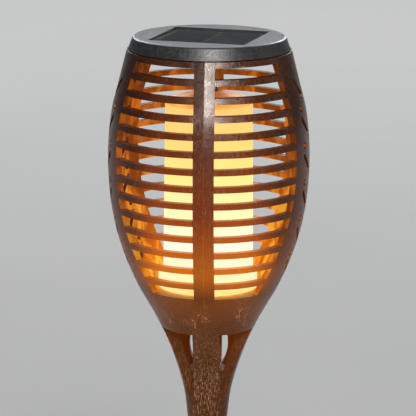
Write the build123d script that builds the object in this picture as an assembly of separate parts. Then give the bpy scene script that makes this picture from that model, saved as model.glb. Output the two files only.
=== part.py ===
from build123d import *
import math
import os

# Solar torch with a caged lamp head on a two-piece pole and a ground spike.
# Millimetres, +Z up.  The origin is on the pole's axis at ground level,
# where the underside of the spike's collar rests on the soil.
# The cage's mould seam lies in the plane X = 0, and its front faces -Y.

# ---- driving dimensions ----
POLE_R = 11.0            # outside of both pole sections
POLE_BORE_R = 9.0
SPIGOT_R = 8.95          # running fit in the bores
SPIGOT_LENGTH = 25.0
SECTION_LENGTH = 195.0   # visible length of one pole section
COLLAR_HEIGHT = 15.0     # spike's collar above the ground
SPIKE_DEPTH = 140.0
HEAD_HEIGHT = 235.0      # cap's top face to the neck's lower end
KEY_WIDTH = 2.6          # lug that stops each plug-in joint from turning
KEY_HEIGHT = 3.6
KEY_GAP = 0.2

NECK_END_Z = COLLAR_HEIGHT + 2 * SECTION_LENGTH
CAP_TOP_Z = NECK_END_Z + HEAD_HEIGHT

# Cage: heights in the head are given as depths below the cap's top face,
# and window edges as angles from the front (-Y), the same on both sides.
STILE_WIDTH = 12.0       # front and back stiles, on the seam
FRONT_WINDOW_END = 62.0
BACK_WINDOW_START = 126.5
WINDOW_TAPER = 15.4      # degrees that the window ends draw in by TAPER_SPAN away
TAPER_CENTRE = 65.0
TAPER_SPAN = 83.0
WALL = 4.0
RIM_DEPTH = 8.0          # the cage's top edge
RIM_BORE_R = 45.5
SLOT_ROWS = 14
FIRST_SLOT_DEPTH = 11.3
SLOT_PITCH = 10.13
SLOT_HEIGHT = 6.6
SIDE_CENTRE = 94.0       # middle of the pierced side panel
CHEVRON_DEPTHS = (29.0, 51.0, 73.0, 95.0, 117.0, 137.0)
CHEVRON_SPREAD = 16.0    # degrees from the middle to each slanted slot
CHEVRON_TILT = 45.0
CHEVRON_SLOT = (17.0, 3.4)   # length and width
MIDDLE_SLOT = (11.0, 4.2)
PIERCING_R = 2.1
PIERCING_SPREAD = 20.0
BOWL_FLOOR_DEPTH = 173.0
NECK_RIB_WIDTH = 15.5    # front and back ribs under the bowl
NECK_POCKET = (175.5, 218.5)
NECK_CORE_R = 12.1
NECK_CAVITY = [          # inner profile of the hollow neck: (radius, depth)
    (23.5, 177.0),       # underside of the bowl's floor
    (20.8, 179.3),
    (18.4, 182.5),
    (16.4, 188.0),
    (14.1, 196.4),
    (12.7, 203.0),
]
BACK_OPENING_REACH = 11.7    # the curved back openings' furthest distance from the seam
BACK_OPENING_DEPTH = 190.5
BACK_OPENING_R = 23.4
SOCKET_DEPTH = 209.0
BARREL = [               # outer profile: (radius, depth)
    (48.8, RIM_DEPTH),
    (53.3, 26.0),
    (57.9, 45.0),
    (60.0, 70.0),
    (58.5, 98.0),
    (53.2, 123.0),
    (43.4, 148.0),
    (30.7, 171.0),
    (22.1, 190.0),
    (14.7, 214.0),
    (11.8, HEAD_HEIGHT),
]

# Cap
CAP_TURN = -14.0         # the round cap sits turned against the seam
CAP_TOP_R = 45.2
CAP_BOTTOM_R = 47.9
CAP_HEIGHT = 7.4
CAP_FILLET = 1.5
CAP_PLATE = 2.2
PANEL_X = 58.0
PANEL_Y = 54.0
PANEL_GAP = 0.3
PANEL_SURFACE = 1.2      # depth of the panel's face in its recess
RECESS_DEPTH = 3.6
RECESS_SKIN = 1.4
BOSS_PLACE_R = 38.0
CLIP_DIRECTIONS = (-22.0, 30.0, 150.0, 202.0)    # behind the cage's side panels
PLATE_TOP = 6.4
TUB_R = 27.0
TUB_DEPTH = 14.5
TUB_SKIN = 1.6
CLIP_DEPTH = 17.0
SWITCH_X = 16.0
BUTTON_R = 2.9

# Lamp column
STEM_R = 4.0
STEM_BORE_R = 2.6
STEM_FLANGE_R = 5.4
LID_DEPTH = 32.6
TUBE_TOP_DEPTH = 39.6
TUBE_TOP_R = 26.0
TUBE_BOTTOM_R = 27.0
TUBE_WALL = 1.6
TUBE_SEAT_DEPTH = 146.0
COLLAR_TOP_DEPTH = 142.5
COLLAR_R = 29.8
BASE_TOP_DEPTH = 151.0
BASE_END_DEPTH = 168.5
CORE_R = 15.0
CORE_BORE_R = 13.4
CORE_TOP_DEPTH = 46.0
CORE_END_DEPTH = 165.0
FLEX = 0.6
LED_COLUMNS = 12
LED_ROWS = 8
CELL_R = 9.1
CELL_TOP_DEPTH = 70.0
CELL_LENGTH = 64.0


def height(depth):
    """Z of a depth below the cap's top face."""
    return CAP_TOP_Z - depth


def ring(upper, lower, outer_r, inner_r=0.0):
    """A round plate or tube on the axis between two depths."""
    low_centre = Pos(0, 0, height(lower))
    aligned = (Align.CENTER, Align.CENTER, Align.MIN)
    solid = Cylinder(outer_r, lower - upper, align=aligned)
    if inner_r:
        solid -= Cylinder(inner_r, lower - upper, align=aligned)
    return low_centre * solid


def block(upper, lower, size_x, size_y, x=0.0, y=0.0):
    """A box between two depths, centred on x, y."""
    aligned = (Align.CENTER, Align.CENTER, Align.MIN)
    return Pos(x, y, height(lower)) * Box(size_x, size_y, lower - upper, align=aligned)


def peg(upper, lower, radius, x, y):
    """An upright cylinder away from the axis between two depths."""
    return Pos(x, y, 0) * ring(upper, lower, radius)


def turned(outline):
    """The solid swept by an outline of (radius, depth) corners."""
    corners = [(radius, 0, height(depth)) for radius, depth in outline]
    return revolve(make_face(Polyline(corners, close=True)), Axis.Z)


def around(count, radius):
    """Places evenly spaced on a circle about the axis, facing outward."""
    return [Rot(0, 0, index * 360.0 / count) * Pos(radius, 0, 0) for index in range(count)]


def solids_of(shapes):
    """Separate solids kept together as one group."""
    return Compound(children=[solid for shape in shapes for solid in shape.solids()])


# ---- ground spike and pole ----
def plug(low_z, key_y):
    """Spigot with its anti-turn lug, standing on a shoulder at low_z."""
    aligned = (Align.CENTER, Align.CENTER, Align.MIN)
    spigot = Pos(0, 0, low_z) * Cylinder(SPIGOT_R, SPIGOT_LENGTH, align=aligned)
    top_edge = spigot.edges().sort_by(Axis.Z)[-1]
    spigot = chamfer(top_edge, 1.0)
    reach = POLE_R - POLE_BORE_R + 1.0
    lug = Pos(0, key_y * (POLE_R - reach / 2 - 0.3), low_z) * Box(
        KEY_WIDTH, reach, KEY_HEIGHT, align=aligned)
    return spigot + lug


def key_notch(low_z, key_y):
    """Space that the lug takes in the lower rim of the next piece up."""
    aligned = (Align.CENTER, Align.CENTER, Align.MIN)
    return Pos(0, key_y * POLE_R, low_z - 1) * Box(
        KEY_WIDTH + 2 * KEY_GAP, 8.0, KEY_HEIGHT + KEY_GAP + 1, align=aligned)


def pole_section(low_z):
    aligned = (Align.CENTER, Align.CENTER, Align.MIN)
    top_z = low_z + SECTION_LENGTH
    tube = Pos(0, 0, low_z) * Cylinder(POLE_R, SECTION_LENGTH, align=aligned)
    tube += plug(top_z, 1)
    bore_length = SECTION_LENGTH - 6.0
    tube -= Pos(0, 0, low_z) * Cylinder(POLE_BORE_R, bore_length, align=aligned)
    spigot_bore = SPIGOT_LENGTH + 6.0
    tube -= Pos(0, 0, low_z + bore_length) * Cylinder(SPIGOT_R - 2.0, spigot_bore, align=aligned)
    return tube - key_notch(low_z, 1)


def ground_spike():
    aligned = (Align.CENTER, Align.CENTER, Align.MIN)
    collar = Cylinder(16.0, 4.0, align=aligned)
    hub = Cylinder(POLE_R, COLLAR_HEIGHT, align=aligned)
    spike = collar + hub + plug(COLLAR_HEIGHT, 1)
    half_top, half_tip = 11.0, 1.4
    fin_outline = make_face(Polyline([
        (-half_top, 0, 0),
        (-half_top, 0, -35.0),
        (-half_tip, 0, -SPIKE_DEPTH),
        (half_tip, 0, -SPIKE_DEPTH),
        (half_top, 0, -35.0),
        (half_top, 0, 0),
    ], close=True))
    fin = extrude(fin_outline, 1.3, both=True)
    return spike + fin + Rot(0, 0, 90) * fin


# ---- cage ----
def barrel_solid(inset, upper, lower):
    """The barrel's revolved profile, drawn in by an inset, between two depths."""
    points = [(radius - inset, 0, height(depth)) for radius, depth in BARREL]
    side = Spline(points)
    top_z, bottom_z = points[0][2], points[-1][2]
    outline = make_face([
        side,
        Line(points[-1], (0, 0, bottom_z)),
        Line((0, 0, bottom_z), (0, 0, top_z)),
        Line((0, 0, top_z), points[0]),
    ])
    return revolve(outline, Axis.Z) & ring(upper, lower, 80.0)


def sector(upper, lower, start, end):
    """A wedge about the axis between two angles from the front, -Y."""
    reach = 120.0
    steps = 4
    angles = [start + (end - start) * step / steps for step in range(steps + 1)]
    rim = [(reach * math.sin(math.radians(a)), -reach * math.cos(math.radians(a))) for a in angles]
    face = make_face(Polyline([(0, 0)] + rim, close=True))
    return Pos(0, 0, height(lower)) * extrude(face, lower - upper)


def mirrored(solid):
    """A solid and its mirror image across the seam plane."""
    return solid + mirror(solid, about=Plane.YZ)


def slot_row(row):
    """The front and back slots of one row, open from the inside out."""
    upper = FIRST_SLOT_DEPTH + row * SLOT_PITCH
    lower = upper + SLOT_HEIGHT
    offset = ((upper + lower) / 2 - TAPER_CENTRE) / TAPER_SPAN
    draw_in = WINDOW_TAPER * offset ** 2
    slots = sector(upper, lower, 0, FRONT_WINDOW_END - draw_in)
    slots += sector(upper, lower, BACK_WINDOW_START + draw_in, 180)
    slots -= block(upper, lower, STILE_WIDTH, 300.0)
    return mirrored(slots & ring(upper, lower, 70.0, 25.0))


def side_cut(size, depth, angle, tilt=0.0):
    """A rounded slot through the wall at an angle from the front, upright when tilt is 0."""
    length, width = size
    outline = Circle(width / 2) if length <= width else SlotOverall(length, width)
    place = Rot(0, 0, angle - 90) * Pos(50.0, 0, height(depth)) * Rot(0, 90, 0) * Rot(0, 0, tilt)
    return place * extrude(outline, 18.0, both=True)


def side_panel_cuts():
    """Chevrons of slanted slots, with upright slots and round holes between them."""
    cuts = []
    for depth in CHEVRON_DEPTHS:
        for side in (-1, 1):
            angle = SIDE_CENTRE + side * CHEVRON_SPREAD
            cuts.append(side_cut(CHEVRON_SLOT, depth, angle, -side * CHEVRON_TILT))
        cuts.append(side_cut(MIDDLE_SLOT, depth - 5.0, SIDE_CENTRE))
    for above, below in zip(CHEVRON_DEPTHS, CHEVRON_DEPTHS[1:]):
        for side in (-1, 1):
            angle = SIDE_CENTRE + side * PIERCING_SPREAD
            cuts.append(side_cut((0, 2 * PIERCING_R), (above + below) / 2, angle))
    return cuts + [mirror(cut, about=Plane.YZ) for cut in cuts]


def neck_cavity():
    """The hollow between the bowl's floor and the solid core of the pole socket."""
    return turned([(0, NECK_CAVITY[0][1])] + NECK_CAVITY + [(0, NECK_CAVITY[-1][1])])


def neck_pockets():
    """Openings beside the front rib, as far as the core and the flat side walls."""
    upper, lower = NECK_POCKET
    reach = 60.0
    gap = block(upper, lower, 2 * reach, reach, y=-(NECK_RIB_WIDTH + reach) / 2)
    gap -= block(upper, lower, NECK_RIB_WIDTH, 3 * reach)
    return gap - ring(upper, lower, NECK_CORE_R)


def back_openings():
    """Curved openings beside the back rib, one each side of the seam."""
    reach = 30.0
    upper = BACK_OPENING_DEPTH - BACK_OPENING_R
    lower = BACK_OPENING_DEPTH + BACK_OPENING_R
    centre = Pos(BACK_OPENING_REACH - BACK_OPENING_R, 0, height(BACK_OPENING_DEPTH))
    lens = centre * Rot(90, 0, 0) * Cylinder(BACK_OPENING_R, 2 * reach)
    beside_rib = block(upper, lower, reach, reach, x=(NECK_RIB_WIDTH + reach) / 2, y=reach / 2)
    return mirrored(lens & beside_rib)


def cage():
    shell = barrel_solid(0.0, RIM_DEPTH, HEAD_HEIGHT)
    shell -= barrel_solid(WALL, RIM_DEPTH, BOWL_FLOOR_DEPTH)
    shell -= ring(RIM_DEPTH, 12.0, RIM_BORE_R)
    shell -= neck_cavity()
    shell -= ring(SOCKET_DEPTH, HEAD_HEIGHT, POLE_BORE_R)
    shell -= key_notch(NECK_END_Z, 1)
    for row in range(SLOT_ROWS):
        shell -= slot_row(row)
    shell -= side_panel_cuts()
    shell -= neck_pockets()
    shell -= back_openings()
    shell += ring(BOWL_FLOOR_DEPTH - 4.0, BOWL_FLOOR_DEPTH, 14.5, 12.2)
    return shell


def cage_halves():
    """Two mouldings that meet at X = 0, located by four pegs."""
    shell = cage()
    left = split(shell, bisect_by=Plane.YZ, keep=Keep.BOTTOM)
    right = split(shell, bisect_by=Plane.YZ, keep=Keep.TOP)
    peg_places = [(20.0, 175.0), (-20.0, 175.0), (10.0, 206.0), (-10.0, 206.0)]
    peg_r, peg_length, clearance = 1.2, 3.0, 0.1
    for y, depth in peg_places:
        place = Pos(0, y, height(depth)) * Rot(0, 90, 0)
        left += place * Cylinder(peg_r, 2 * peg_length)
        right -= place * Cylinder(peg_r + clearance, 2 * peg_length + 2 * clearance)
    return left, right


# ---- cap ----
def cap_shell():
    skirt = make_face(Polyline([
        (0, 0, height(0)),
        (CAP_TOP_R, 0, height(0)),
        (CAP_BOTTOM_R, 0, height(CAP_HEIGHT)),
        (0, 0, height(CAP_HEIGHT)),
    ], close=True))
    shell = revolve(skirt, Axis.Z)
    top_edge = shell.edges().filter_by(GeomType.CIRCLE).sort_by(Axis.Z)[-1]
    shell = fillet(top_edge, CAP_FILLET)
    shell -= ring(CAP_PLATE, PLATE_TOP - 1.0, 44.2)
    shell -= ring(PLATE_TOP - 1.0, CAP_HEIGHT, 46.1)
    outer_x, outer_y = PANEL_X + 4.0, PANEL_Y + 4.0
    shell += block(CAP_PLATE - 1.0, RECESS_DEPTH + RECESS_SKIN, outer_x, outer_y)
    shell -= block(-1.0, RECESS_DEPTH, PANEL_X + 2 * PANEL_GAP, PANEL_Y + 2 * PANEL_GAP)
    shell -= block(RECESS_DEPTH, RECESS_DEPTH + RECESS_SKIN, 8.0, 5.0, x=-14.0)
    for place in around(4, BOSS_PLACE_R):
        shell += place * ring(CAP_PLATE - 0.5, PLATE_TOP, 3.0)
        shell -= place * ring(CAP_PLATE + 1.0, PLATE_TOP, 1.15)
    return shell


def cap_base_plate():
    plate = ring(PLATE_TOP, RIM_DEPTH, 46.0, TUB_R - TUB_SKIN)
    plate += ring(RIM_DEPTH, 12.0, 45.2, 43.6)
    plate += ring(RIM_DEPTH, TUB_DEPTH, TUB_R, TUB_R - TUB_SKIN)
    plate += ring(TUB_DEPTH - TUB_SKIN, TUB_DEPTH, TUB_R)
    band = ring(12.0, CLIP_DEPTH, 45.2, 43.6)
    for direction in CLIP_DIRECTIONS:
        place = Rot(0, 0, direction - CAP_TURN) * Pos(44.0, 0, 0)
        plate += band & (place * block(12.0, CLIP_DEPTH, 8.0, 8.0))
    floor_top = TUB_DEPTH - TUB_SKIN
    for y in (-8.0, 8.0):
        plate += peg(10.2, floor_top, 2.0, -14.5, y)
    plate -= ring(floor_top, TUB_DEPTH, STEM_R)
    plate -= peg(floor_top, TUB_DEPTH, BUTTON_R + 0.4, SWITCH_X, 0)
    for place in around(4, BOSS_PLACE_R):
        plate -= place * ring(PLATE_TOP, RIM_DEPTH, 1.4)
    return plate


def cap_gasket():
    return ring(PLATE_TOP - 1.0, PLATE_TOP, 46.0, 44.4)


def cap_screws():
    screws = []
    for place in around(4, BOSS_PLACE_R):
        shank = ring(CAP_PLATE + 1.3, RIM_DEPTH, 1.1)
        head = ring(RIM_DEPTH, RIM_DEPTH + 1.6, 2.3)
        cross = block(RIM_DEPTH + 0.8, RIM_DEPTH + 1.6, 2.8, 0.6)
        cross += block(RIM_DEPTH + 0.8, RIM_DEPTH + 1.6, 0.6, 2.8)
        screws.append(place * (shank + head - cross))
    return solids_of(screws)


def panel_parts():
    """Adhesive bed, board, two cells and the clear face, stacked in the recess."""
    cell_depth = PANEL_SURFACE + 0.6
    board_depth = cell_depth + 0.2
    bed_depth = board_depth + 1.2
    bed = block(bed_depth, RECESS_DEPTH, PANEL_X - 2.0, PANEL_Y - 2.0)
    bed -= block(bed_depth, RECESS_DEPTH, 8.0, 5.0, x=-14.0)
    board = block(board_depth, bed_depth, PANEL_X, PANEL_Y)
    border, gap = 2.2, 1.2
    cell_x = (PANEL_X - 2 * border - gap) / 2
    cell_y = PANEL_Y - 2 * border
    offset = (cell_x + gap) / 2
    cells = [block(cell_depth, board_depth, cell_x, cell_y, x=side * offset) for side in (-1, 1)]
    cover = block(PANEL_SURFACE, board_depth, PANEL_X, PANEL_Y)
    for cell in cells:
        cover -= cell
    return bed, board, solids_of(cells), cover


def solar_leads():
    """Two short wires from the panel's underside to the driver board."""
    return solids_of([peg(3.2, 9.0, 0.6, -14.0, y) for y in (-1.2, 1.2)])


def driver_board():
    return block(9.0, 10.2, 13.0, 24.0, x=-14.5)


def board_components():
    """Controller chip, inductor and two capacitors on the driver board."""
    chip = block(7.6, 9.0, 4.0, 5.0, x=-17.5, y=5.5)
    inductor = block(6.4, 9.0, 5.0, 5.0, x=-17.5, y=-6.0)
    capacitors = [block(7.8, 9.0, 1.6, 3.2, x=-11.0, y=y) for y in (8.5, -9.0)]
    return solids_of([chip, inductor] + capacitors)


def switch_body():
    body = block(6.9, TUB_DEPTH - TUB_SKIN, 8.0, 8.0, x=SWITCH_X)
    return body - peg(8.2, TUB_DEPTH - TUB_SKIN, 1.6, SWITCH_X, 0)


def switch_button():
    head = peg(TUB_DEPTH, TUB_DEPTH + 2.7, BUTTON_R, SWITCH_X, 0)
    head = fillet(head.edges().sort_by(Axis.Z)[0], 0.6)
    return head + peg(9.9, TUB_DEPTH, 1.55, SWITCH_X, 0)


def switch_seal():
    return Pos(SWITCH_X, 0, 0) * ring(TUB_DEPTH, TUB_DEPTH + 0.8, 5.0, BUTTON_R + 0.4)


# ---- lamp column ----
def wire_stem():
    stem = ring(9.4, 40.0, STEM_R, STEM_BORE_R)
    stem += ring(TUB_DEPTH, TUB_DEPTH + 1.4, STEM_FLANGE_R, STEM_R)
    return stem + ring(LID_DEPTH - 1.4, LID_DEPTH, STEM_FLANGE_R, STEM_R)


def stem_nuts():
    """Hexagon nuts that clamp the tub and the diffuser's lid on the stem."""
    nuts = []
    for upper, lower in ((10.6, TUB_DEPTH - TUB_SKIN), (LID_DEPTH + 1.8, LID_DEPTH + 4.2)):
        prism = Pos(0, 0, height(lower)) * extrude(RegularPolygon(6.4, 6), lower - upper)
        nuts.append(prism - ring(upper, lower, STEM_R))
    return solids_of(nuts)


def lamp_leads():
    """Three wires from the driver board over the stem's end and down inside it."""
    wires = []
    for y in (-1.4, 0.0, 1.4):
        path = FilletPolyline([
            (-9.6, y, height(9.0)),
            (-9.6, y, height(6.2)),
            (0, y, height(6.2)),
            (0, y, height(CORE_TOP_DEPTH + 4.0)),
        ], radius=1.8)
        section = Plane(origin=path @ 0, z_dir=path % 0) * Circle(0.5)
        wires.append(sweep(section, path=path))
    return solids_of(wires)


def diffuser_top():
    return turned([
        (STEM_R, LID_DEPTH),
        (8.0, LID_DEPTH),
        (TUBE_TOP_R, TUBE_TOP_DEPTH - 1.4),
        (TUBE_TOP_R, TUBE_TOP_DEPTH),
        (TUBE_TOP_R - TUBE_WALL - 0.2, TUBE_TOP_DEPTH),
        (TUBE_TOP_R - TUBE_WALL - 0.2, TUBE_TOP_DEPTH + 3.4),
        (TUBE_TOP_R - 2 * TUBE_WALL, TUBE_TOP_DEPTH + 3.4),
        (TUBE_TOP_R - 2 * TUBE_WALL, TUBE_TOP_DEPTH + 0.6),
        (8.0, LID_DEPTH + 1.8),
        (STEM_R, LID_DEPTH + 1.8),
    ])


def diffuser_tube():
    return turned([
        (TUBE_TOP_R - TUBE_WALL, TUBE_TOP_DEPTH),
        (TUBE_TOP_R, TUBE_TOP_DEPTH),
        (TUBE_BOTTOM_R, TUBE_SEAT_DEPTH),
        (TUBE_BOTTOM_R - TUBE_WALL, TUBE_SEAT_DEPTH),
    ])


def base_collar():
    return turned([
        (TUBE_BOTTOM_R + 0.05, COLLAR_TOP_DEPTH),
        (COLLAR_R - 0.8, COLLAR_TOP_DEPTH),
        (COLLAR_R, COLLAR_TOP_DEPTH + 0.8),
        (COLLAR_R, BASE_TOP_DEPTH),
        (TUBE_BOTTOM_R - 2.0, BASE_TOP_DEPTH),
        (TUBE_BOTTOM_R - 2.0, TUBE_SEAT_DEPTH),
        (TUBE_BOTTOM_R + 0.05, TUBE_SEAT_DEPTH),
    ])


def column_base():
    cup = turned([
        (0, CORE_END_DEPTH),
        (19.6, CORE_END_DEPTH),
        (25.0, BASE_TOP_DEPTH),
        (31.8, BASE_TOP_DEPTH),
        (31.8, BASE_TOP_DEPTH + 2.0),
        (29.0, BASE_TOP_DEPTH + 3.4),
        (22.0, BASE_END_DEPTH),
        (0, BASE_END_DEPTH),
    ])
    cup += ring(BASE_END_DEPTH, BASE_END_DEPTH + 4.0, 11.9)
    ears = ring(COLLAR_TOP_DEPTH - 1.0, BASE_TOP_DEPTH, 31.8, COLLAR_R + 0.1)
    cup += ears & block(COLLAR_TOP_DEPTH - 1.0, BASE_TOP_DEPTH, 80.0, 8.0)
    for place in around(2, 17.0):
        cup -= place * ring(CORE_END_DEPTH, BASE_END_DEPTH, 1.2)
    return cup


def led_core():
    tube = ring(CORE_TOP_DEPTH, CORE_END_DEPTH, CORE_R, CORE_BORE_R)
    tube += ring(CORE_TOP_DEPTH, CORE_TOP_DEPTH + 1.6, CORE_R, 3.0)
    tube += ring(CORE_END_DEPTH - 3.0, CORE_END_DEPTH, 19.0, CORE_R)
    for place in around(2, 17.0):
        tube -= place * ring(CORE_END_DEPTH - 3.0, CORE_END_DEPTH, 0.9)
    return tube


def column_screws():
    screws = []
    for place in around(2, 17.0):
        shank = ring(CORE_END_DEPTH - 2.6, BASE_END_DEPTH, 0.85)
        head = ring(BASE_END_DEPTH, BASE_END_DEPTH + 1.3, 1.9)
        slot = block(BASE_END_DEPTH + 0.7, BASE_END_DEPTH + 1.3, 2.6, 0.5)
        screws.append(place * (shank + head - slot))
    return solids_of(screws)


def led_flex_board():
    return ring(CORE_TOP_DEPTH + 6.0, COLLAR_TOP_DEPTH - 3.0, CORE_R + FLEX, CORE_R)


def leds():
    """Small square emitters in columns and rows round the flexible board."""
    first = CORE_TOP_DEPTH + 11.0
    pitch = (COLLAR_TOP_DEPTH - 8.0 - first) / (LED_ROWS - 1)
    inner = CORE_R + FLEX
    emitters = []
    for place in around(LED_COLUMNS, inner + 0.5):
        for row in range(LED_ROWS):
            middle = first + row * pitch
            emitters.append(place * block(middle - 1.75, middle + 1.75, 1.0, 2.8))
    return solids_of(emitters)


def battery_cell():
    can = ring(CELL_TOP_DEPTH, CELL_TOP_DEPTH + CELL_LENGTH, CELL_R)
    can = fillet(can.edges().filter_by(GeomType.CIRCLE), 0.8)
    return can + ring(CELL_TOP_DEPTH - 1.0, CELL_TOP_DEPTH, 3.0)


def battery_holder():
    upper = CELL_TOP_DEPTH - 5.0
    lower = CELL_TOP_DEPTH + CELL_LENGTH + 6.0
    trough = ring(upper, lower, 11.0, CELL_R + 0.3)
    trough &= block(upper, lower, 30.0, 15.0, y=7.5)
    ends = ring(upper, upper + 2.0, 13.2, 3.0)
    ends += ring(lower - 2.0, lower, 13.2, 3.0)
    return trough + ends


def battery_contacts():
    top = ring(CELL_TOP_DEPTH - 3.0, CELL_TOP_DEPTH - 1.0, 5.0)
    end = CELL_TOP_DEPTH + CELL_LENGTH
    spring = turned([(0, end), (3.0, end), (7.0, end + 4.0), (0, end + 4.0)])
    return solids_of([top, spring])


def build():
    left_half, right_half = cage_halves()
    bed, board, cells, cover = panel_parts()
    cap_pieces = {
        "cap_shell": cap_shell(),
        "cap_base_plate": cap_base_plate(),
        "cap_gasket": cap_gasket(),
        "cap_screws": cap_screws(),
        "panel_adhesive": bed,
        "panel_board": board,
        "solar_cells": cells,
        "panel_cover": cover,
        "solar_leads": solar_leads(),
        "driver_board": driver_board(),
        "board_components": board_components(),
        "switch_body": switch_body(),
        "switch_button": switch_button(),
        "switch_seal": switch_seal(),
        "lamp_leads": lamp_leads(),
    }
    nodes = {
        "ground_spike": ground_spike(),
        "lower_pole": pole_section(COLLAR_HEIGHT),
        "upper_pole": pole_section(COLLAR_HEIGHT + SECTION_LENGTH),
        "left_cage_half": left_half,
        "right_cage_half": right_half,
        "wire_stem": wire_stem(),
        "stem_nuts": stem_nuts(),
        "diffuser_top": diffuser_top(),
        "diffuser_tube": diffuser_tube(),
        "base_collar": base_collar(),
        "column_base": column_base(),
        "column_screws": column_screws(),
        "led_core": led_core(),
        "led_flex_board": led_flex_board(),
        "leds": leds(),
        "battery_cell": battery_cell(),
        "battery_holder": battery_holder(),
        "battery_contacts": battery_contacts(),
    }
    for name, piece in cap_pieces.items():
        nodes[name] = Rot(0, 0, CAP_TURN) * piece
    return nodes


os.makedirs("parts", exist_ok=True)
for node_name, node_shape in build().items():
    export_step(node_shape, os.path.join("parts", node_name + ".step"))
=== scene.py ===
import math

import bmesh
import bpy
from mathutils import Matrix, Vector


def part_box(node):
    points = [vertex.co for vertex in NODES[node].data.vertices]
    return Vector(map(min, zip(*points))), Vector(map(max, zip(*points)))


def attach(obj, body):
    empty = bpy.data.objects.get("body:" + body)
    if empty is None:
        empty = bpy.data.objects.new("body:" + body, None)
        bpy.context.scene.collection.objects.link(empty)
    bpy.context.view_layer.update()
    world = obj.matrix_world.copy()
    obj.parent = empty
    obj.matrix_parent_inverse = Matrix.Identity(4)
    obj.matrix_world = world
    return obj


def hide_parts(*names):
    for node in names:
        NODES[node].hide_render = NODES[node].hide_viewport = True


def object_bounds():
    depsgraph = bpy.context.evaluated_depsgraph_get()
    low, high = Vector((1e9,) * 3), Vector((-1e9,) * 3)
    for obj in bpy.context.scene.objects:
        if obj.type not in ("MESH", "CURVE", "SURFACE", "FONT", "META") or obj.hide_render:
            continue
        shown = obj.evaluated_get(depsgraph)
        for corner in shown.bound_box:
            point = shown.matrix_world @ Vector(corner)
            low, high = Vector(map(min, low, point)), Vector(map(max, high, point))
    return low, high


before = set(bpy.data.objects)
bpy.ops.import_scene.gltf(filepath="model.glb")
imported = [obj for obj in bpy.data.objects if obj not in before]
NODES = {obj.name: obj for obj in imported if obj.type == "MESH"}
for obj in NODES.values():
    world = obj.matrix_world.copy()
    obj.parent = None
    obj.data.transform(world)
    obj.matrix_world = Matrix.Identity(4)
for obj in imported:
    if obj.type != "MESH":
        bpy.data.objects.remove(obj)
cad_low, cad_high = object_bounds()

MM = 0.001
CAP_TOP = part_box("cap_shell")[1].z

# ---- camera, at the photograph's viewing angle ----
CAMERA_AZIMUTH = math.radians(3.09)
CAMERA_ELEVATION = math.radians(12.79)
CAMERA_ROLL = math.radians(-0.31)
CAMERA_DISTANCE = 1.4973
CAMERA_LENS = 216.6
CAMERA_SENSOR = 36.0
CAMERA_FAR_CLIP = 100.0
TARGET_DEPTH = 104.1 * MM
TARGET_SIDE = -0.3 * MM

# ---- cage: millimetres, depths below the cap's top, and degrees from the front ----
RIM_DEPTH = 8.0
HEAD_END = (CAP_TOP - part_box("left_cage_half")[0].z) / MM
BARREL = [  # (radius, depth) pairs
    (48.8, RIM_DEPTH),
    (53.3, 26.0),
    (57.9, 45.0),
    (60.0, 70.0),
    (58.5, 98.0),
    (53.2, 123.0),
    (43.4, 148.0),
    (30.7, 171.0),
    (22.1, 190.0),
    (14.7, 214.0),
    (11.8, HEAD_END),
]
WALL = 4.0
THINNEST_WALL = 0.3
RIM_BORE_R = 45.5
SLOT_ROWS = 14
FIRST_SLOT = 11.3
SLOT_PITCH = 10.13
SLOT_HEIGHT = 6.6
LAST_SLOT_END = FIRST_SLOT + (SLOT_ROWS - 1) * SLOT_PITCH + SLOT_HEIGHT
STILE_HALF = 6.0
RIB_HALF = 7.75
FRONT_WINDOW_END = 62.0
BACK_WINDOW_START = 126.5
WINDOW_TAPER = 15.4
TAPER_CENTRE = 65.0
TAPER_SPAN = 83.0
SIDE_CENTRE = 94.0
CHEVRON_DEPTHS = (29.0, 51.0, 73.0, 95.0, 117.0, 137.0)
CHEVRON_SPREAD = 16.0
CHEVRON_TILT = 45.0
CHEVRON_SLOT = (17.0, 3.4)
MIDDLE_SLOT = (11.0, 4.2)
MIDDLE_SLOT_RISE = 5.0
PIERCING_R = 2.1
PIERCING_SPREAD = 20.0
CUTTER_REACH = (34.0, 72.0)
FLOOR_TOP = 173.0
FLOOR_INSET = 2.0
LOCATING_RING = (12.2, 14.5)
LOCATING_RING_HEIGHT = 4.0
NECK_POCKET = (175.5, 218.5)
NECK_CAVITY = [  # (radius, depth) pairs
    (23.5, 177.0),
    (20.8, 179.3),
    (18.4, 182.5),
    (16.4, 188.0),
    (14.1, 196.4),
    (12.7, 203.0),
]
NECK_CORE_R = 12.1
NECK_CORE_END_R = 11.2
NECK_CORE_STRAIGHT = 6.0
NECK_END_GAP = 0.5
BACK_OPENING_REACH = 11.7
BACK_OPENING_DEPTH = 190.5
BACK_OPENING_R = 23.4
BACK_OPENING_HALF = 13.0
BACK_OPENING_LEAST = 0.3
LARGEST_SINE = 0.98
SOCKET_R = 9.0
SOCKET_DEPTH = 209.0
SEAM_GAP = 0.04
RIDGE_HALF = 6.2
RIDGE_SLOPE = 0.07

# ---- fineness of the cage's mesh ----
EDGE_ROUNDING = 0.55
EDGE_SEGMENTS = 3
ROUNDED_ANGLE = math.radians(32.0)
SHARP_ANGLE = math.radians(42.0)
MERGE_DISTANCE = 1e-7
SLOT_END_STEPS = 10
HALF_TURN_STEPS = 36
SLOT_GRID = 2
BOWL_GRID = 7
OPENING_GRID = 16
NECK_GRID = 7
NECK_END_GRID = 6
COLUMN_CELLS = (2, 16, 22, 14, 2)  # grid cells from the front seam to the back seam
OPEN_COLUMNS = {
    "solid": (),
    "slot": (1, 3),
    "pocket": (1,),
    "pocket_and_opening": (1, 3),
}

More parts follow.
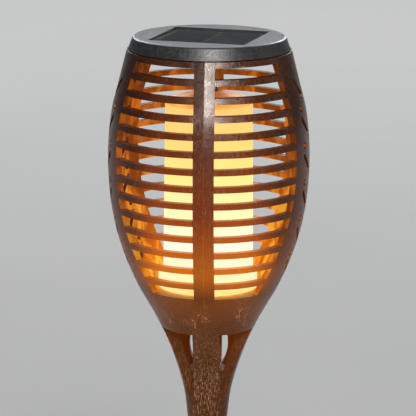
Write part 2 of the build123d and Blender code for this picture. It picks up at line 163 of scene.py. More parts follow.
# ---- lamp light on the cage: (depth, strength) pairs ----
INSIDE_LIGHT = [
    (8, 0.12),
    (30, 0.24),
    (60, 0.33),
    (90, 0.34),
    (125, 0.42),
    (150, 0.60),
    (175, 0.5),
    (212, 0.2),
]
SLAT_GLOW = [
    (8, 0.012),
    (30, 0.04),
    (60, 0.10),
    (95, 0.20),
    (118, 0.40),
    (134, 0.52),
    (150, 0.12),
    (168, 0.06),
    (190, 0.04),
    (235, 0.02),
]
LEAST_LIGHT = 0.0001

# ---- depths between which a look changes, in millimetres below the cap's top ----
BOWL_STARTS = (150.0, 160.0)
BOWL_ENDS = (172.0, 184.0)
SLATS_END = (146.0, 158.0)
UNDER_FLOOR = (FLOOR_TOP, FLOOR_TOP + 3.0)
FLOOR_SHADE = (FLOOR_TOP + 0.5, FLOOR_TOP + 2.5)
INSIDE_BRIGHTENS = (60.0, 140.0)
GLOW_WARMS = (90.0, 135.0)
PAINTED_SHEEN_WARMS = (80.0, 140.0)
CRUST_GROWS = (163.0, 205.0)
CRUST_NARROWS = (168.0, 180.0)
LID_SLOPE = (32.5, 39.5)
COLUMN_BASE_SLOPE = (150.0, 166.0)

# ---- colours of the cage and the poles ----
DARK_BROWN = (0.012, 0.0040, 0.0016)
BROWN = (0.024, 0.0078, 0.0030)
GRAIN_BROWN = (0.05, 0.020, 0.010)
CRUST_TAN = (0.50, 0.27, 0.14)
SCUFF_TAN = (0.40, 0.21, 0.12)
PALE_GLOSS = (1.0, 0.90, 0.84)
# copper tint on the reflections lower on the cage: a painted copper sheen on the bowl
PAINTED_COPPER_SHEEN = (1.0, 0.62, 0.40)
INSIDE_ORANGE = (1.0, 0.19, 0.0)
INSIDE_YELLOW = (1.0, 0.50, 0.04)
UNDER_FLOOR_RED = (1.0, 0.10, 0.0)
GLOW_RED = (1.0, 0.14, 0.0)
GLOW_ORANGE = (1.0, 0.22, 0.0)

# ---- the diffuser tube's colours, by share of the way down ----
TUBE_TOP = 30.0
TUBE_LENGTH = 125.0
TUBE_COLORS = [
    (0.0, (0.62, 0.20, 0.03)),
    (0.08, (0.96, 0.60, 0.19)),
    (0.25, (0.97, 0.70, 0.19)),
    (0.42, (0.97, 0.86, 0.28)),
    (0.59, (0.97, 0.95, 0.50)),
    (0.74, (0.98, 0.98, 0.80)),
    (0.90, (0.97, 0.90, 0.48)),
    (0.98, (0.95, 0.76, 0.22)),
]

# ---- studio, in metres, watts and degrees ----
FLOOR_HALF = 14.0
SKY_COLOR = (0.86, 0.93, 1.0, 1.0)
SKY_RISE = {"From Min": 0.15, "From Max": 0.9, "To Min": 0.06, "To Max": 0.36}
HEAD_CENTRE = (0, 0, CAP_TOP - 0.11)
WARM_WHITE = (1.0, 0.97, 0.95)
PEACH_WHITE = (1.0, 0.86, 0.76)
COOL_WHITE = (0.80, 0.92, 1.0)


def barrel_radius(depth):
    """Outer radius of the cage at a depth, a smooth curve through the BARREL points."""
    points = BARREL
    if depth <= points[0][1]:
        return points[0][0]
    if depth >= points[-1][1]:
        return points[-1][0]
    index = max(i for i in range(len(points) - 1) if points[i][1] <= depth)

    def slope(i):
        before, after = points[max(i - 1, 0)], points[min(i + 1, len(points) - 1)]
        return (after[0] - before[0]) / (after[1] - before[1])

    (r0, d0), (r1, d1) = points[index], points[index + 1]
    span = d1 - d0
    t = (depth - d0) / span
    return (
        (2 * t**3 - 3 * t**2 + 1) * r0
        + (t**3 - 2 * t**2 + t) * span * slope(index)
        + (3 * t**2 - 2 * t**3) * r1
        + (t**3 - t**2) * span * slope(index + 1)
    )


def polar(radius, angle, depth, side):
    """A point at an angle from the front (-Y) towards +X, or -X when side is -1."""
    turn = math.radians(angle)
    x = side * max(radius * math.sin(turn), SEAM_GAP)
    return Vector((x * MM, -radius * math.cos(turn) * MM, CAP_TOP - depth * MM))


# ---- mesh helpers ----
def add_object(name, data):
    """Links a new object that holds a mesh, a lamp or a camera."""
    made = bpy.data.objects.new(name, data)
    bpy.context.scene.collection.objects.link(made)
    return made


def object_from(name, bm):
    """Turns a bmesh into an object, shaded smooth between its sharp edges."""
    bmesh.ops.recalc_face_normals(bm, faces=bm.faces)
    mesh = bpy.data.meshes.new(name)
    bm.to_mesh(mesh)
    bm.free()
    mesh.shade_smooth()
    mesh.set_sharp_from_angle(angle=SHARP_ANGLE)
    made = add_object(name, mesh)
    weighted = made.modifiers.new("even_shading", "WEIGHTED_NORMAL")
    weighted.keep_sharp = True
    return made


def round_edges(bm):
    """Rounds the edges where the surface turns by more than ROUNDED_ANGLE."""
    edges = [
        edge for edge in bm.edges
        if len(edge.link_faces) == 2 and edge.calc_face_angle(0) > ROUNDED_ANGLE
    ]
    bmesh.ops.bevel(
        bm, geom=edges, offset=EDGE_ROUNDING * MM, segments=EDGE_SEGMENTS,
        profile=0.5, affect="EDGES", clamp_overlap=True)


def carve(bm, cutter_bm):
    """Cuts one closed bmesh out of another."""
    pair = []
    for label, shape in (("wall", bm), ("cutter", cutter_bm)):
        bmesh.ops.recalc_face_normals(shape, faces=shape.faces)
        mesh = bpy.data.meshes.new(label)
        shape.to_mesh(mesh)
        shape.free()
        pair.append(add_object(label, mesh))
    wall, cutter = pair
    cut = wall.modifiers.new("cut", "BOOLEAN")
    cut.operation = "DIFFERENCE"
    cut.solver = "EXACT"
    cut.object = cutter
    evaluated = wall.evaluated_get(bpy.context.evaluated_depsgraph_get())
    result = bmesh.new()
    result.from_mesh(evaluated.data)
    for made in pair:
        bpy.data.objects.remove(made)
    return result


def spread(start, end, count):
    """Numbers from start up to but not including end."""
    return [start + (end - start) * step / count for step in range(count)]


# ---- cage mesh ----
def row_depths():
    """Depth lines of the cage's grid, and the kind of each row between them."""
    lines, kinds = [], []

    def add(start, end, count, kind):
        lines.extend(spread(start, end, count))
        kinds.extend([kind] * count)

    add(RIM_DEPTH, FIRST_SLOT, 1, "solid")
    for row in range(SLOT_ROWS):
        top = FIRST_SLOT + row * SLOT_PITCH
        add(top, top + SLOT_HEIGHT, SLOT_GRID, "slot")
        if row < SLOT_ROWS - 1:
            add(top + SLOT_HEIGHT, top + SLOT_PITCH, 1, "solid")
    opening_top = BACK_OPENING_DEPTH - BACK_OPENING_HALF
    opening_end = BACK_OPENING_DEPTH + BACK_OPENING_HALF
    add(LAST_SLOT_END, NECK_POCKET[0], BOWL_GRID, "solid")
    add(NECK_POCKET[0], opening_top, 1, "pocket")
    add(opening_top, opening_end, OPENING_GRID, "pocket_and_opening")
    add(opening_end, NECK_POCKET[1], NECK_GRID, "pocket")
    add(NECK_POCKET[1], HEAD_END, NECK_END_GRID, "solid")
    lines.append(HEAD_END)
    return lines, kinds


def slot_edges(depth, radius):
    """Angles of the window edges at a slot's depth, from the front seam to the back."""
    draw_in = WINDOW_TAPER * ((depth - TAPER_CENTRE) / TAPER_SPAN) ** 2
    stile = math.degrees(math.asin(STILE_HALF / radius))
    return [stile, FRONT_WINDOW_END - draw_in, BACK_WINDOW_START + draw_in, 180 - stile]


def neck_edges(depth, radius):
    """Angles of the pocket beside the front rib and of the opening beside the back rib."""
    rib = math.degrees(math.asin(RIB_HALF / radius))
    drop = min(abs(depth - BACK_OPENING_DEPTH), BACK_OPENING_HALF)
    reach = BACK_OPENING_REACH - BACK_OPENING_R + math.sqrt(BACK_OPENING_R**2 - drop**2)
    sine = max(reach, RIB_HALF + BACK_OPENING_LEAST) / radius
    opening = math.degrees(math.asin(min(sine, LARGEST_SINE)))
    return [rib, 90 - rib, 180 - opening, 180 - rib]


def edges_at(depth, radius):
    """Angles of the cut edges: the windows', the neck's, or in the bowl a blend of both."""
    if depth <= LAST_SLOT_END:
        return slot_edges(depth, radius)
    if depth >= NECK_POCKET[0]:
        return neck_edges(depth, radius)
    mix = (depth - LAST_SLOT_END) / (NECK_POCKET[0] - LAST_SLOT_END)
    ease = mix * mix * (3 - 2 * mix)
    upper, lower = slot_edges(depth, radius), neck_edges(NECK_POCKET[0], radius)
    return [a + (b - a) * ease for a, b in zip(upper, lower)]


def column_angles(depth, radius):
    """Angles of the grid's upright lines at a depth, from the front seam to the back."""
    edges = [0.0] + edges_at(depth, radius) + [180.0]
    angles = []
    for start, end, count in zip(edges, edges[1:], COLUMN_CELLS):
        angles += spread(start, end, count)
    return angles + [180.0]


def inner_radius(depth):
    """Radius of the cage's inner skin at a depth."""
    if depth < FIRST_SLOT:
        return RIM_BORE_R
    if depth <= FLOOR_TOP:
        return barrel_radius(depth) - WALL
    for (r0, d0), (r1, d1) in zip(NECK_CAVITY, NECK_CAVITY[1:]):
        if depth <= d1:
            return r0 + (r1 - r0) * max(depth - d0, 0.0) / (d1 - d0)
    return min(NECK_CORE_R, barrel_radius(depth) - THINNEST_WALL)


def cage_wall(side):
    """The wall of one half with its slots, pockets and back opening."""
    bm = bmesh.new()
    lines, kinds = row_depths()
    columns = [index for index, count in enumerate(COLUMN_CELLS) for _ in range(count)]
    skins = []
    for radius_at in (barrel_radius, inner_radius):
        grid = []
        for depth in lines:
            radius = radius_at(depth)
            angles = column_angles(depth, radius)
            grid.append([bm.verts.new(polar(radius, a, depth, side)) for a in angles])
        skins.append(grid)
    outer, inner = skins

    def is_open(row, column):
        if not (0 <= row < len(kinds) and 0 <= column < len(columns)):
            return True
        return columns[column] in OPEN_COLUMNS[kinds[row]]

    for row in range(len(kinds)):
        for column in range(len(columns)):
            if is_open(row, column):
                continue
            for grid in skins:
                bm.faces.new((grid[row][column], grid[row][column + 1],
                              grid[row + 1][column + 1], grid[row + 1][column]))
            borders = (
                (row - 1, column, (row, column), (row, column + 1)),
                (row + 1, column, (row + 1, column), (row + 1, column + 1)),
                (row, column - 1, (row, column), (row + 1, column)),
                (row, column + 1, (row, column + 1), (row + 1, column + 1)),
            )
            for next_row, next_column, a, b in borders:
                if is_open(next_row, next_column):
                    bm.faces.new((outer[a[0]][a[1]], outer[b[0]][b[1]],
                                  inner[b[0]][b[1]], inner[a[0]][a[1]]))
    loose = [vert for vert in bm.verts if not vert.link_faces]
    bmesh.ops.delete(bm, geom=loose, context="VERTS")
    bmesh.ops.recalc_face_normals(bm, faces=bm.faces)
    round_edges(bm)
    return bm


def rounded_slot(bm, size, depth, angle, side, tilt=0.0):
    """A prism with half-round ends that passes through the wall; upright when tilt is 0."""
    length, width = size
    straight = max(length - width, 0.0) / 2
    turn, lean = math.radians(angle), math.radians(tilt)
    outward = Vector((side * math.sin(turn), -math.cos(turn), 0))
    along = Vector((side * math.cos(turn), math.sin(turn), 0))
    centre = Vector((0, 0, CAP_TOP - depth * MM))
    rings = []
    for distance in CUTTER_REACH:
        ring = []
        for half in (1, -1):
            for step in range(SLOT_END_STEPS + 1):
                a = math.pi * step / SLOT_END_STEPS + (0 if half == 1 else math.pi)
                u = math.cos(a) * width / 2
                v = math.sin(a) * width / 2 + half * straight
                across = u * math.cos(lean) + v * math.sin(lean)
                up = v * math.cos(lean) - u * math.sin(lean)
                place = centre + (outward * distance + along * across + Vector((0, 0, up))) * MM
                ring.append(bm.verts.new(place))
        rings.append(ring)
    near, far = rings
    count = len(near)
    bm.faces.new(near)
    bm.faces.new(list(reversed(far)))
    for i in range(count):
        j = (i + 1) % count
        bm.faces.new((near[j], near[i], far[i], far[j]))


def side_pattern(side):
    """Chevrons of slanted slots, with upright slots and round holes between them."""
    bm = bmesh.new()
    for depth in CHEVRON_DEPTHS:
        for turn in (-1, 1):
            angle = SIDE_CENTRE + turn * CHEVRON_SPREAD
            rounded_slot(bm, CHEVRON_SLOT, depth, angle, side, turn * CHEVRON_TILT)
        rounded_slot(bm, MIDDLE_SLOT, depth - MIDDLE_SLOT_RISE, SIDE_CENTRE, side)
    for above, below in zip(CHEVRON_DEPTHS, CHEVRON_DEPTHS[1:]):
        for turn in (-1, 1):
            angle = SIDE_CENTRE + turn * PIERCING_SPREAD
            size = (2 * PIERCING_R, 2 * PIERCING_R)
            rounded_slot(bm, size, (above + below) / 2, angle, side)
    bmesh.ops.remove_doubles(bm, verts=bm.verts, dist=MERGE_DISTANCE)
    return bm


def cage_half(name, side):
    """One moulded half: the pierced wall, the bowl's floor and the neck's socket."""
    bm = carve(cage_wall(side), side_pattern(side))
    trim = bmesh.new()
    half_lathe(trim, floor_outline(), side)
    half_lathe(trim, socket_outline(), side)
    mesh = bpy.data.meshes.new("trim")
    trim.to_mesh(mesh)
    trim.free()
    bm.from_mesh(mesh)
    return object_from(name, bm)


def floor_outline():
    """The bowl's floor, with a raised ring that locates the column."""
    ring_in, ring_out = LOCATING_RING
    ring_top = FLOOR_TOP - LOCATING_RING_HEIGHT
    floor_end = NECK_POCKET[0]
    return [
        (0.0, FLOOR_TOP),
        (ring_in, FLOOR_TOP),
        (ring_in, ring_top),
        (ring_out, ring_top),
        (ring_out, FLOOR_TOP),
        (barrel_radius(FLOOR_TOP) - FLOOR_INSET, FLOOR_TOP),
        (barrel_radius(floor_end) - FLOOR_INSET, floor_end),
        (0.0, floor_end),
    ]


def socket_outline():
    """The neck's core, bored from below for the pole's spigot."""
    core_top = NECK_CAVITY[-1][1]
    core_end = HEAD_END - NECK_END_GAP
    return [
        (0.0, core_top),
        (NECK_CORE_R, core_top),
        (NECK_CORE_R, NECK_POCKET[1] + NECK_CORE_STRAIGHT),
        (NECK_CORE_END_R, core_end),
        (SOCKET_R, core_end),
        (SOCKET_R, SOCKET_DEPTH),
        (0.0, SOCKET_DEPTH),
    ]


def half_lathe(bm, outline, side):
    """Adds half a turned solid on one side of the seam, closed along the seam."""
    rings = []
    for step in range(HALF_TURN_STEPS + 1):
        angle = 180.0 * step / HALF_TURN_STEPS
        rings.append([bm.verts.new(polar(radius, angle, depth, side)) for radius, depth in outline])
    count = len(outline)
    for a, b in zip(rings, rings[1:]):
        for i in range(count):
            j = (i + 1) % count
            bm.faces.new((a[i], a[j], b[j], b[i]))
    bm.faces.new(rings[0])
    bm.faces.new(rings[-1])


# ---- materials ----
SHADER_INPUTS = {
    "color": "Base Color",
    "roughness": "Roughness",
    "metallic": "Metallic",
    "specular": "Specular IOR Level",
    "specular_tint": "Specular Tint",
    "coat": "Coat Weight",
    "coat_roughness": "Coat Roughness",
    "alpha": "Alpha",
    "normal": "Normal",
    "emission": "Emission Color",
    "glow": "Emission Strength",
}


class Surface:
    """A principled material with short calls for the nodes that feed it."""

    def __init__(self, name):
        self.material = bpy.data.materials.new(name)
        self.material.use_nodes = True
        self.tree = self.material.node_tree
        self.shader = self.tree.nodes["Principled BSDF"]
        texture = self.tree.nodes.new("ShaderNodeTexCoord")
        self.coords = texture.outputs["Object"]
        self.normal = texture.outputs["Normal"]

    def node(self, kind, **values):
        made = self.tree.nodes.new("ShaderNode" + kind)
        for key, value in values.items():
            setattr(made, key, value)
        return made

    def feed(self, socket, value):
        if isinstance(value, bpy.types.NodeSocket):
            self.tree.links.new(value, socket)
        else:
            socket.default_value = value

    def set(self, **values):
        for key, value in values.items():
            self.feed(self.shader.inputs[SHADER_INPUTS[key]], value)

    def place(self, scale=(1, 1, 1), turn=(0, 0, 0)):
        mapping = self.node("Mapping")
        self.feed(mapping.inputs["Vector"], self.coords)
        mapping.inputs["Scale"].default_value = scale
        mapping.inputs["Rotation"].default_value = [math.radians(a) for a in turn]
        return mapping.outputs["Vector"]

    def noise(self, scale, detail=3.0, roughness=0.5, distortion=0.0, vector=None):
        made = self.node("TexNoise")
        self.feed(made.inputs["Vector"], vector or self.coords)
        made.inputs["Scale"].default_value = scale
        made.inputs["Detail"].default_value = detail
        made.inputs["Roughness"].default_value = roughness
        made.inputs["Distortion"].default_value = distortion
        return made.outputs["Fac"]

    def axis(self, letter, vector=None):
        split = self.node("SeparateXYZ")
        self.feed(split.inputs[0], vector or self.coords)
        return split.outputs[letter]

    def maths(self, operation, a, b=0.0):
        made = self.node("Math", operation=operation)
        for socket, value in zip(made.inputs, (a, b)):
            self.feed(socket, value)
        return made.outputs[0]

    def times(self, first, *others):
        for other in others:
            first = self.maths("MULTIPLY", first, other)
        return first

    def size_of(self, value):
        return self.maths("ABSOLUTE", value)

    def fade(self, value, low, high, to_low=0.0, to_high=1.0):
        """A clamped smooth change from to_low at low to to_high at high."""
        made = self.node("MapRange", interpolation_type="SMOOTHSTEP")
        for socket, number in zip(made.inputs, (value, low, high, to_low, to_high)):
            self.feed(socket, number)
        return made.outputs[0]

    def mix(self, amount, a, b):
        made = self.node("Mix", data_type="RGBA")
        self.feed(made.inputs["Factor"], amount)
        self.feed(made.inputs["A"], rgba(a))
        self.feed(made.inputs["B"], rgba(b))
        return made.outputs["Result"]

    def ramp(self, value, stops):
        made = self.node("ValToRGB")
        self.feed(made.inputs["Fac"], value)
        elements = made.color_ramp.elements
        while len(elements) < len(stops):
            elements.new(0.5)
        for element, (place, color) in zip(elements, stops):
            element.position = place
            element.color = rgba(color)
        return made.outputs["Color"]

    def bump(self, height, strength, distance, normal=None):
        made = self.node("Bump")
        made.inputs["Strength"].default_value = strength
        made.inputs["Distance"].default_value = distance
        self.feed(made.inputs["Height"], height)
        if normal:
            self.feed(made.inputs["Normal"], normal)
        return made.outputs["Normal"]


def rgba(color):
    """A plain colour with full alpha added, or a node's output as it is."""
    if isinstance(color, bpy.types.NodeSocket):
        return color
    return (*color, 1.0) if len(color) == 3 else color


def depth_of(s):
    """Millimetres below the cap's top, at rest."""
    return s.maths("DIVIDE", s.maths("SUBTRACT", CAP_TOP, s.axis("Z")), MM)


def by_depth(s, depth, stops):
    """A number that follows (depth, value) pairs with straight runs between them."""
    first, last = stops[0][0], stops[-1][0]
    place = s.maths("DIVIDE", s.maths("SUBTRACT", depth, first), last - first)
    grey = [((d - first) / (last - first), (value, value, value)) for d, value in stops]
    return s.ramp(place, grey)


def outward_facing(s):
    """How far the surface faces away from the axis: 1 outside, -1 inside, 0 on slot walls."""
    flat = s.node("CombineXYZ")
    s.feed(flat.inputs["X"], s.axis("X"))
    s.feed(flat.inputs["Y"], s.axis("Y"))
    outward = s.node("VectorMath", operation="NORMALIZE")
    s.feed(outward.inputs[0], flat.outputs[0])
    facing = s.node("VectorMath", operation="DOT_PRODUCT")
    s.feed(facing.inputs[0], s.normal)
    s.feed(facing.inputs[1], outward.outputs[0])
    return facing.outputs["Value"]


def inside_light(s, depth, streak_field):
    """Strength of the lamp's light on the inside of the moulding and on the slots' ends."""
    facing = outward_facing(s)
    inside = s.fade(s.maths("MULTIPLY", facing, -1.0), 0.15, 0.9)
    upright = s.fade(s.size_of(s.axis("Z", s.normal)), 0.3, 0.6, 1.0, 0.0)
    slot_end = s.fade(s.size_of(facing), 0.25, 0.6, 0.6, 0.0)
    reached = s.maths("MAXIMUM", inside, s.times(upright, slot_end))
    streaks = s.fade(streak_field, 0.35, 0.68, 0.45, 1.9)
    under_floor = s.fade(depth, *UNDER_FLOOR, 1.0, 0.06)
    level = by_depth(s, depth, INSIDE_LIGHT)
    return s.times(reached, level, s.times(streaks, under_floor))


def slat_glow(s, depth):
    """Strength of the glow through the slats, which fades towards the sides."""
    beside = s.size_of(s.axis("X"))
    middle = s.fade(beside, 22.0 * MM, 46.0 * MM, 1.0, 0.14)
    on_stile = s.fade(beside, STILE_HALF * MM, (STILE_HALF + 0.6) * MM, 1.0, 0.0)
    above_bowl = s.fade(depth, *SLATS_END, 1.0, 0.0)
    slat = s.fade(s.times(on_stile, above_bowl), 0.0, 1.0, 1.25, 0.75)
    return s.times(by_depth(s, depth, SLAT_GLOW), middle, slat)


def lamp_light(s, depth):
    """Lamp light on the inside of the moulding, and its glow through the slats."""
    streak_field = s.noise(75.0, detail=4.0, distortion=1.4, vector=s.place(scale=(1, 1, 0.45)))
    lit = inside_light(s, depth, streak_field)
    glow = slat_glow(s, depth)
    bright = s.times(s.fade(streak_field, 0.42, 0.66), s.fade(depth, *INSIDE_BRIGHTENS, 0.2, 1.0))
    color = s.mix(bright, INSIDE_ORANGE, INSIDE_YELLOW)
    color = s.mix(s.fade(depth, *FLOOR_SHADE), color, UNDER_FLOOR_RED)
    glow_color = s.mix(s.fade(depth, *GLOW_WARMS), GLOW_RED, GLOW_ORANGE)
    both = s.maths("ADD", lit, glow)
    share = s.maths("DIVIDE", lit, s.maths("ADD", both, LEAST_LIGHT))
    s.set(emission=s.mix(share, glow_color, color), glow=both)


def rib_crust(s, depth):
    """Gritty, sparkling crust on the ribs under the bowl and on the poles."""
    grit = s.noise(1500.0, detail=6.0, roughness=0.8, distortion=0.2,
                   vector=s.place(scale=(1, 1, 0.16), turn=(0, 12, 0)))
    patches = s.noise(34.0, detail=3.0, vector=s.place(scale=(1, 1, 0.4)))
    beside_rib = s.fade(s.size_of(s.axis("X")), 7.0 * MM, 9.5 * MM, 0.0, 0.75)
    bare = s.times(beside_rib, s.fade(depth, *CRUST_NARROWS))
    cover = s.times(s.fade(depth, *CRUST_GROWS, 0.15, 1.0), s.maths("SUBTRACT", 1.0, bare),
                    s.fade(patches, 0.40, 0.58, 0.15, 1.0))
    return s.times(s.fade(grit, 0.50, 0.64), cover)


def bowl_scuffs(s, depth):
    """Long fine scuffs over the bowl, each a thin contour line of a stretched noise."""
    scuffs = 0.0
    for turn, scale in ((40.0, 260.0), (-22.0, 200.0), (58.0, 330.0)):
        field = s.noise(scale, detail=1.0, vector=s.place(scale=(1, 0.5, 0.05), turn=(0, turn, 0)))
        line = s.fade(s.size_of(s.maths("SUBTRACT", field, 0.5)), 0.002, 0.009, 1.0, 0.0)
        scuffs = s.maths("MAXIMUM", scuffs, line)
    where = s.fade(s.noise(70.0, detail=2.0), 0.52, 0.62)
    bowl = s.times(s.fade(depth, *BOWL_STARTS), s.fade(depth, *BOWL_ENDS, 1.0, 0.0))
    return s.times(scuffs, where, bowl)


def seam_ridge(s):
    """The halves meet in a slight ridge down the front and back."""
    beside_seam = s.maths("MINIMUM", s.size_of(s.axis("X")), RIDGE_HALF * MM)
    return s.bump(s.times(beside_seam, -RIDGE_SLOPE), strength=1.0, distance=1.0)


def brown_plastic(name, head=True):
    """Dark brown moulding with scuffs and gritty ribs, and on the head the lamp's light."""
    s = Surface(name)
    depth = depth_of(s)
    patches = s.noise(38.0, detail=4.0)
    fine = s.noise(1500.0, detail=3.0)
    grain = s.noise(420.0, detail=5.0, roughness=0.7)
    crust = rib_crust(s, depth)
    base = s.mix(s.fade(patches, 0.35, 0.7), DARK_BROWN, BROWN)
    base = s.mix(s.fade(grain, 0.5, 0.75, 0.0, 0.3), base, GRAIN_BROWN)
    base = s.mix(s.times(crust, 0.85), base, CRUST_TAN)
    base = s.mix(s.times(bowl_scuffs(s, depth), 0.7), base, SCUFF_TAN)
    height = s.maths("ADD", s.times(fine, 0.5), grain)
    height = s.maths("ADD", height, s.times(crust, 3.0))
    s.set(color=base, roughness=s.fade(grain, 0.3, 0.7, 0.24, 0.38), specular=0.42,
          # the sheen is painted copper towards the bowl, a painted tint on its reflections
          specular_tint=s.mix(s.fade(depth, *PAINTED_SHEEN_WARMS), PALE_GLOSS, PAINTED_COPPER_SHEEN),
          normal=s.bump(height, strength=0.35, distance=0.00025, normal=seam_ridge(s)))
    if head:
        lamp_light(s, depth)
    return s.material


def charcoal_plastic():
    """Dark grey moulding of the cap with a fine grain, and light grey specks painted on as its
    sparkle.
    """
    s = Surface("charcoal_plastic")
    sparkle_specks = s.noise(1300.0, detail=2.0)
    grain = s.noise(520.0, detail=4.0, roughness=0.7)
    base = s.mix(s.fade(grain, 0.4, 0.7), (0.011, 0.0105, 0.0105), (0.024, 0.024, 0.026))
    # light grey specks painted on the cap: painted glints that stand in for its sparkle
    base = s.mix(s.fade(sparkle_specks, 0.58, 0.72, 0.0, 0.22), base, (0.16, 0.16, 0.17))
    s.set(color=base, roughness=s.fade(grain, 0.3, 0.7, 0.34, 0.46), specular=0.42,
          normal=s.bump(s.maths("ADD", sparkle_specks, grain), strength=0.45, distance=0.0003))
    return s.material


def solar_cell():
    """Blue-black silicon with fine contact fingers."""
    s = Surface("solar_cell")
    turned = s.place(turn=(0, 0, 14))
    fingers = s.node("TexWave", wave_type="BANDS", bands_direction="Y")
    s.feed(fingers.inputs["Vector"], turned)
    fingers.inputs["Scale"].default_value = 130.0
    lines = s.fade(fingers.outputs["Fac"], 0.93, 0.99, 0.0, 0.35)
    mottled = s.mix(s.noise(90.0, detail=4.0), (0.020, 0.023, 0.030), (0.045, 0.050, 0.060))
    s.set(color=s.mix(lines, mottled, (0.25, 0.27, 0.30)), roughness=0.22, specular=0.6,
          coat=0.6, coat_roughness=0.08)
    return s.material


def panel_laminate():
    """Olive board that shows as a thin border round the cells."""
    s = Surface("panel_laminate")
    weave = s.noise(700.0, detail=3.0)
    s.set(color=s.mix(weave, (0.60, 0.58, 0.18), (0.80, 0.76, 0.34)), roughness=0.4,
          normal=s.bump(weave, strength=0.2, distance=0.0001))
    return s.material


def clear_resin():
    """Clear face over the cells, with a faint ripple; it hides more when seen at a slant."""
    s = Surface("clear_resin")
    ripple = s.noise(70.0, detail=2.0)
    slant = s.node("LayerWeight").outputs["Facing"]
    s.set(color=s.mix(ripple, (0.030, 0.034, 0.032), (0.055, 0.060, 0.058)), roughness=0.12,
          alpha=s.fade(slant, 0.0, 1.0, 0.15, 0.7),
          normal=s.bump(ripple, strength=0.05, distance=0.0005))
    return s.material


def lit_diffuser(name):
    """Frosted part lit from within: orange at the top, near white three quarters down."""
    s = Surface(name)
    cloud = s.noise(55.0, detail=3.0)
    drift = s.maths("ADD", depth_of(s), s.times(s.maths("SUBTRACT", cloud, 0.5), 10.0))
    place = s.maths("DIVIDE", s.maths("SUBTRACT", drift, TUBE_TOP), TUBE_LENGTH)
    s.set(color=(0.10, 0.06, 0.025, 1.0), roughness=0.45, specular=0.3,
          emission=s.ramp(place, TUBE_COLORS), glow=1.0,
          normal=s.bump(s.noise(900.0), strength=0.15, distance=0.0002))
    return s.material


def lit_lid():
    """The diffuser's cone: amber, darker towards the stem."""
    s = Surface("lid_glow")
    cloud = s.fade(s.noise(120.0, detail=3.0), 0.3, 0.7, 0.8, 1.1)
    color = s.mix(s.fade(depth_of(s), *LID_SLOPE), (0.34, 0.075, 0.006), (0.95, 0.44, 0.075))
    s.set(color=(0.12, 0.05, 0.015, 1.0), roughness=0.4, specular=0.3, emission=color, glow=cloud)
    return s.material


def amber_plastic():
    """Amber base of the column, which glows where the tube stands in it."""
    s = Surface("amber_plastic")
    cloud = s.noise(90.0, detail=3.0)
    level = s.fade(depth_of(s), *COLUMN_BASE_SLOPE, 0.62, 0.12)
    s.set(color=(0.10, 0.03, 0.008, 1.0), roughness=0.4, specular=0.3,
          emission=s.mix(cloud, (1.0, 0.30, 0.02), (1.0, 0.42, 0.04)),
          glow=s.times(level, s.fade(cloud, 0.3, 0.7, 0.8, 1.15)))
    return s.material


def plain_surface(name, low, high, roughness=0.5, glow=None):
    """Plain part with a slight grain, between a darker and a lighter colour."""
    s = Surface(name)
    grain = s.noise(600.0, detail=4.0, roughness=0.6)
    change = 0.06
    s.set(color=s.mix(grain, low, high),
          roughness=s.fade(grain, 0.3, 0.7, roughness - change, roughness + change),
          normal=s.bump(grain, strength=0.2, distance=0.00015))
    if glow:
        s.set(emission=rgba(glow), glow=1.5)
    return s.material


def brushed_metal(name, low, high):
    """Plated metal with fine level brush marks."""
    s = Surface(name)
    brushing = s.noise(300.0, detail=4.0, vector=s.place(scale=(1, 1, 14)))
    s.set(color=s.mix(brushing, low, high), metallic=1.0,
          roughness=s.fade(brushing, 0.3, 0.7, 0.22, 0.4))
    return s.material


def paint(material, *names):
    """Gives CAD nodes a material in place of their own."""
    for name in names:
        slots = NODES[name].data.materials
        slots.clear()
        slots.append(material)


# ---- the pieces ----
cage_brown = brown_plastic("cage_brown")
pole_brown = brown_plastic("pole_brown", head=False)

for node_name, side in (("right_cage_half", 1.0), ("left_cage_half", -1.0)):
    half = cage_half(node_name + "_moulding", side)
    half.data.materials.append(cage_brown)
    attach(half, "cage")
    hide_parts(node_name)

paint(pole_brown, "lower_pole", "upper_pole")
paint(plain_surface("spike_black", (0.020, 0.017, 0.015), (0.040, 0.035, 0.030)),
      "ground_spike")
paint(charcoal_plastic(), "cap_shell")
paint(plain_surface("inner_brown", (0.05, 0.018, 0.009), (0.08, 0.03, 0.015)),
      "cap_base_plate", "wire_stem")
paint(amber_plastic(), "column_base")
paint(plain_surface("soft_black", (0.012, 0.012, 0.012), (0.03, 0.03, 0.03), roughness=0.6),
      "cap_gasket", "switch_seal", "switch_body", "board_components", "battery_holder")
paint(brushed_metal("zinc_steel", (0.45, 0.45, 0.47), (0.7, 0.7, 0.72)),
      "cap_screws", "column_screws")
paint(brushed_metal("plated_contact", (0.6, 0.5, 0.28), (0.8, 0.7, 0.45)),
      "stem_nuts", "battery_contacts")
paint(plain_surface("foam_tape", (0.6, 0.6, 0.57), (0.75, 0.75, 0.72)), "panel_adhesive")
paint(panel_laminate(), "panel_board")
paint(solar_cell(), "solar_cells")
paint(clear_resin(), "panel_cover")
paint(plain_surface("red_wire", (0.4, 0.02, 0.015), (0.6, 0.04, 0.03), roughness=0.4),
      "solar_leads", "lamp_leads")
paint(plain_surface("solder_mask", (0.01, 0.12, 0.04), (0.03, 0.2, 0.08), roughness=0.3),
      "driver_board")
paint(plain_surface("red_button", (0.35, 0.02, 0.02), (0.5, 0.05, 0.04), roughness=0.35),
      "switch_button")
paint(lit_diffuser("diffuser_glow"), "diffuser_tube")
paint(lit_lid(), "diffuser_top")
paint(lit_diffuser("collar_glow"), "base_collar")
paint(plain_surface("white_moulding", (0.7, 0.7, 0.68), (0.82, 0.82, 0.8)),
      "led_core", "led_flex_board")
paint(plain_surface("led_yellow", (0.9, 0.65, 0.2), (1.0, 0.8, 0.35), glow=(1.0, 0.6, 0.2)),
      "leds")
paint(plain_surface("cell_sleeve", (0.04, 0.18, 0.42), (0.07, 0.26, 0.55), roughness=0.3),
      "battery_cell")


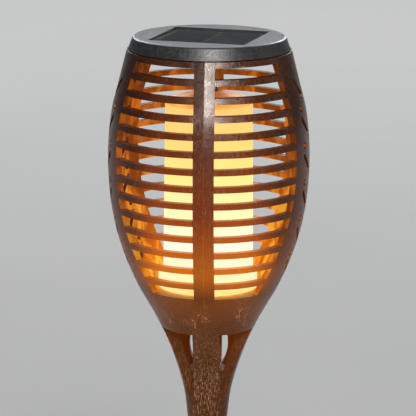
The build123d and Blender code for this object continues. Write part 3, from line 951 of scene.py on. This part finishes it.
# ---- floor, light and camera ----
def soft_light(name, place, target, size, power, color=(1, 1, 1), beam=180.0):
    """A rectangular lamp aimed at a target, its light kept within the beam's angle."""
    lamp = bpy.data.lights.new(name, "AREA")
    lamp.spread = math.radians(beam)
    lamp.shape = "RECTANGLE"
    lamp.size, lamp.size_y = size
    lamp.energy = power
    lamp.color = color
    made = add_object(name, lamp)
    made.location = place
    made.rotation_mode = "QUATERNION"
    made.rotation_quaternion = (Vector(target) - Vector(place)).to_track_quat("-Z", "Y")


def floor():
    """A square of pale floor at the part's lowest point."""
    bm = bmesh.new()
    corners = []
    for x, y in ((-1, -1), (1, -1), (1, 1), (-1, 1)):
        corners.append(bm.verts.new((x * FLOOR_HALF, y * FLOOR_HALF, cad_low.z)))
    bm.faces.new(corners)
    mesh = bpy.data.meshes.new("floor")
    bm.to_mesh(mesh)
    bm.free()
    s = Surface("floor_paint")
    s.set(color=s.mix(s.noise(2.0), (0.42, 0.42, 0.41), (0.45, 0.45, 0.44)), roughness=0.85)
    mesh.materials.append(s.material)
    add_object("floor", mesh)


def world_light():
    """Pale surroundings, dim at the horizon and bright overhead."""
    world = bpy.data.worlds.new("studio")
    world.use_nodes = True
    tree = world.node_tree
    split = tree.nodes.new("ShaderNodeSeparateXYZ")
    tree.links.new(tree.nodes.new("ShaderNodeTexCoord").outputs["Generated"], split.inputs[0])
    rise = tree.nodes.new("ShaderNodeMapRange")
    rise.interpolation_type = "SMOOTHSTEP"
    tree.links.new(split.outputs["Z"], rise.inputs["Value"])
    for key, value in SKY_RISE.items():
        rise.inputs[key].default_value = value
    sky = tree.nodes["Background"]
    sky.inputs["Color"].default_value = SKY_COLOR
    tree.links.new(rise.outputs["Result"], sky.inputs["Strength"])
    bpy.context.scene.world = world


def camera():
    """The photograph's viewing angle, aimed at the head."""
    data = bpy.data.cameras.new("camera")
    data.lens = CAMERA_LENS
    data.sensor_width = CAMERA_SENSOR
    data.clip_end = CAMERA_FAR_CLIP
    made = add_object("camera", data)
    a, e = CAMERA_AZIMUTH, CAMERA_ELEVATION
    back = Vector((math.sin(a) * math.cos(e), -math.cos(a) * math.cos(e), math.sin(e)))
    right = Vector((math.cos(a), math.sin(a), 0.0))
    target = right * TARGET_SIDE + Vector((0, 0, CAP_TOP - TARGET_DEPTH))
    made.location = target + back * CAMERA_DISTANCE
    made.rotation_mode = "QUATERNION"
    roll = Matrix.Rotation(-CAMERA_ROLL, 3, back).to_quaternion()
    made.rotation_quaternion = roll @ (-back).to_track_quat("-Z", "Y")
    bpy.context.scene.camera = made


floor()
world_light()
camera()
soft_light("key", place=(0.24, -1.75, 1.40), target=HEAD_CENTRE, size=(0.34, 0.42),
           power=3.2, color=WARM_WHITE, beam=40.0)
soft_light("rim", place=(1.5, 0.25, 1.1), target=HEAD_CENTRE, size=(0.4, 0.9),
           power=1.0, color=PEACH_WHITE)
soft_light("back_left", place=(-1.0, 2.3, 1.66), target=HEAD_CENTRE, size=(1.0, 0.8),
           power=3.2, color=COOL_WHITE, beam=55.0)
soft_light("back_right", place=(0.8, 2.4, 1.66), target=HEAD_CENTRE, size=(1.0, 0.8),
           power=4.8, color=COOL_WHITE, beam=55.0)
soft_light("overhead", place=(0, 5.5, 4.5), target=(0, 5.5, 0), size=(8.0, 6.0), power=400.0)
bpy.context.scene.view_settings.view_transform = "Standard"
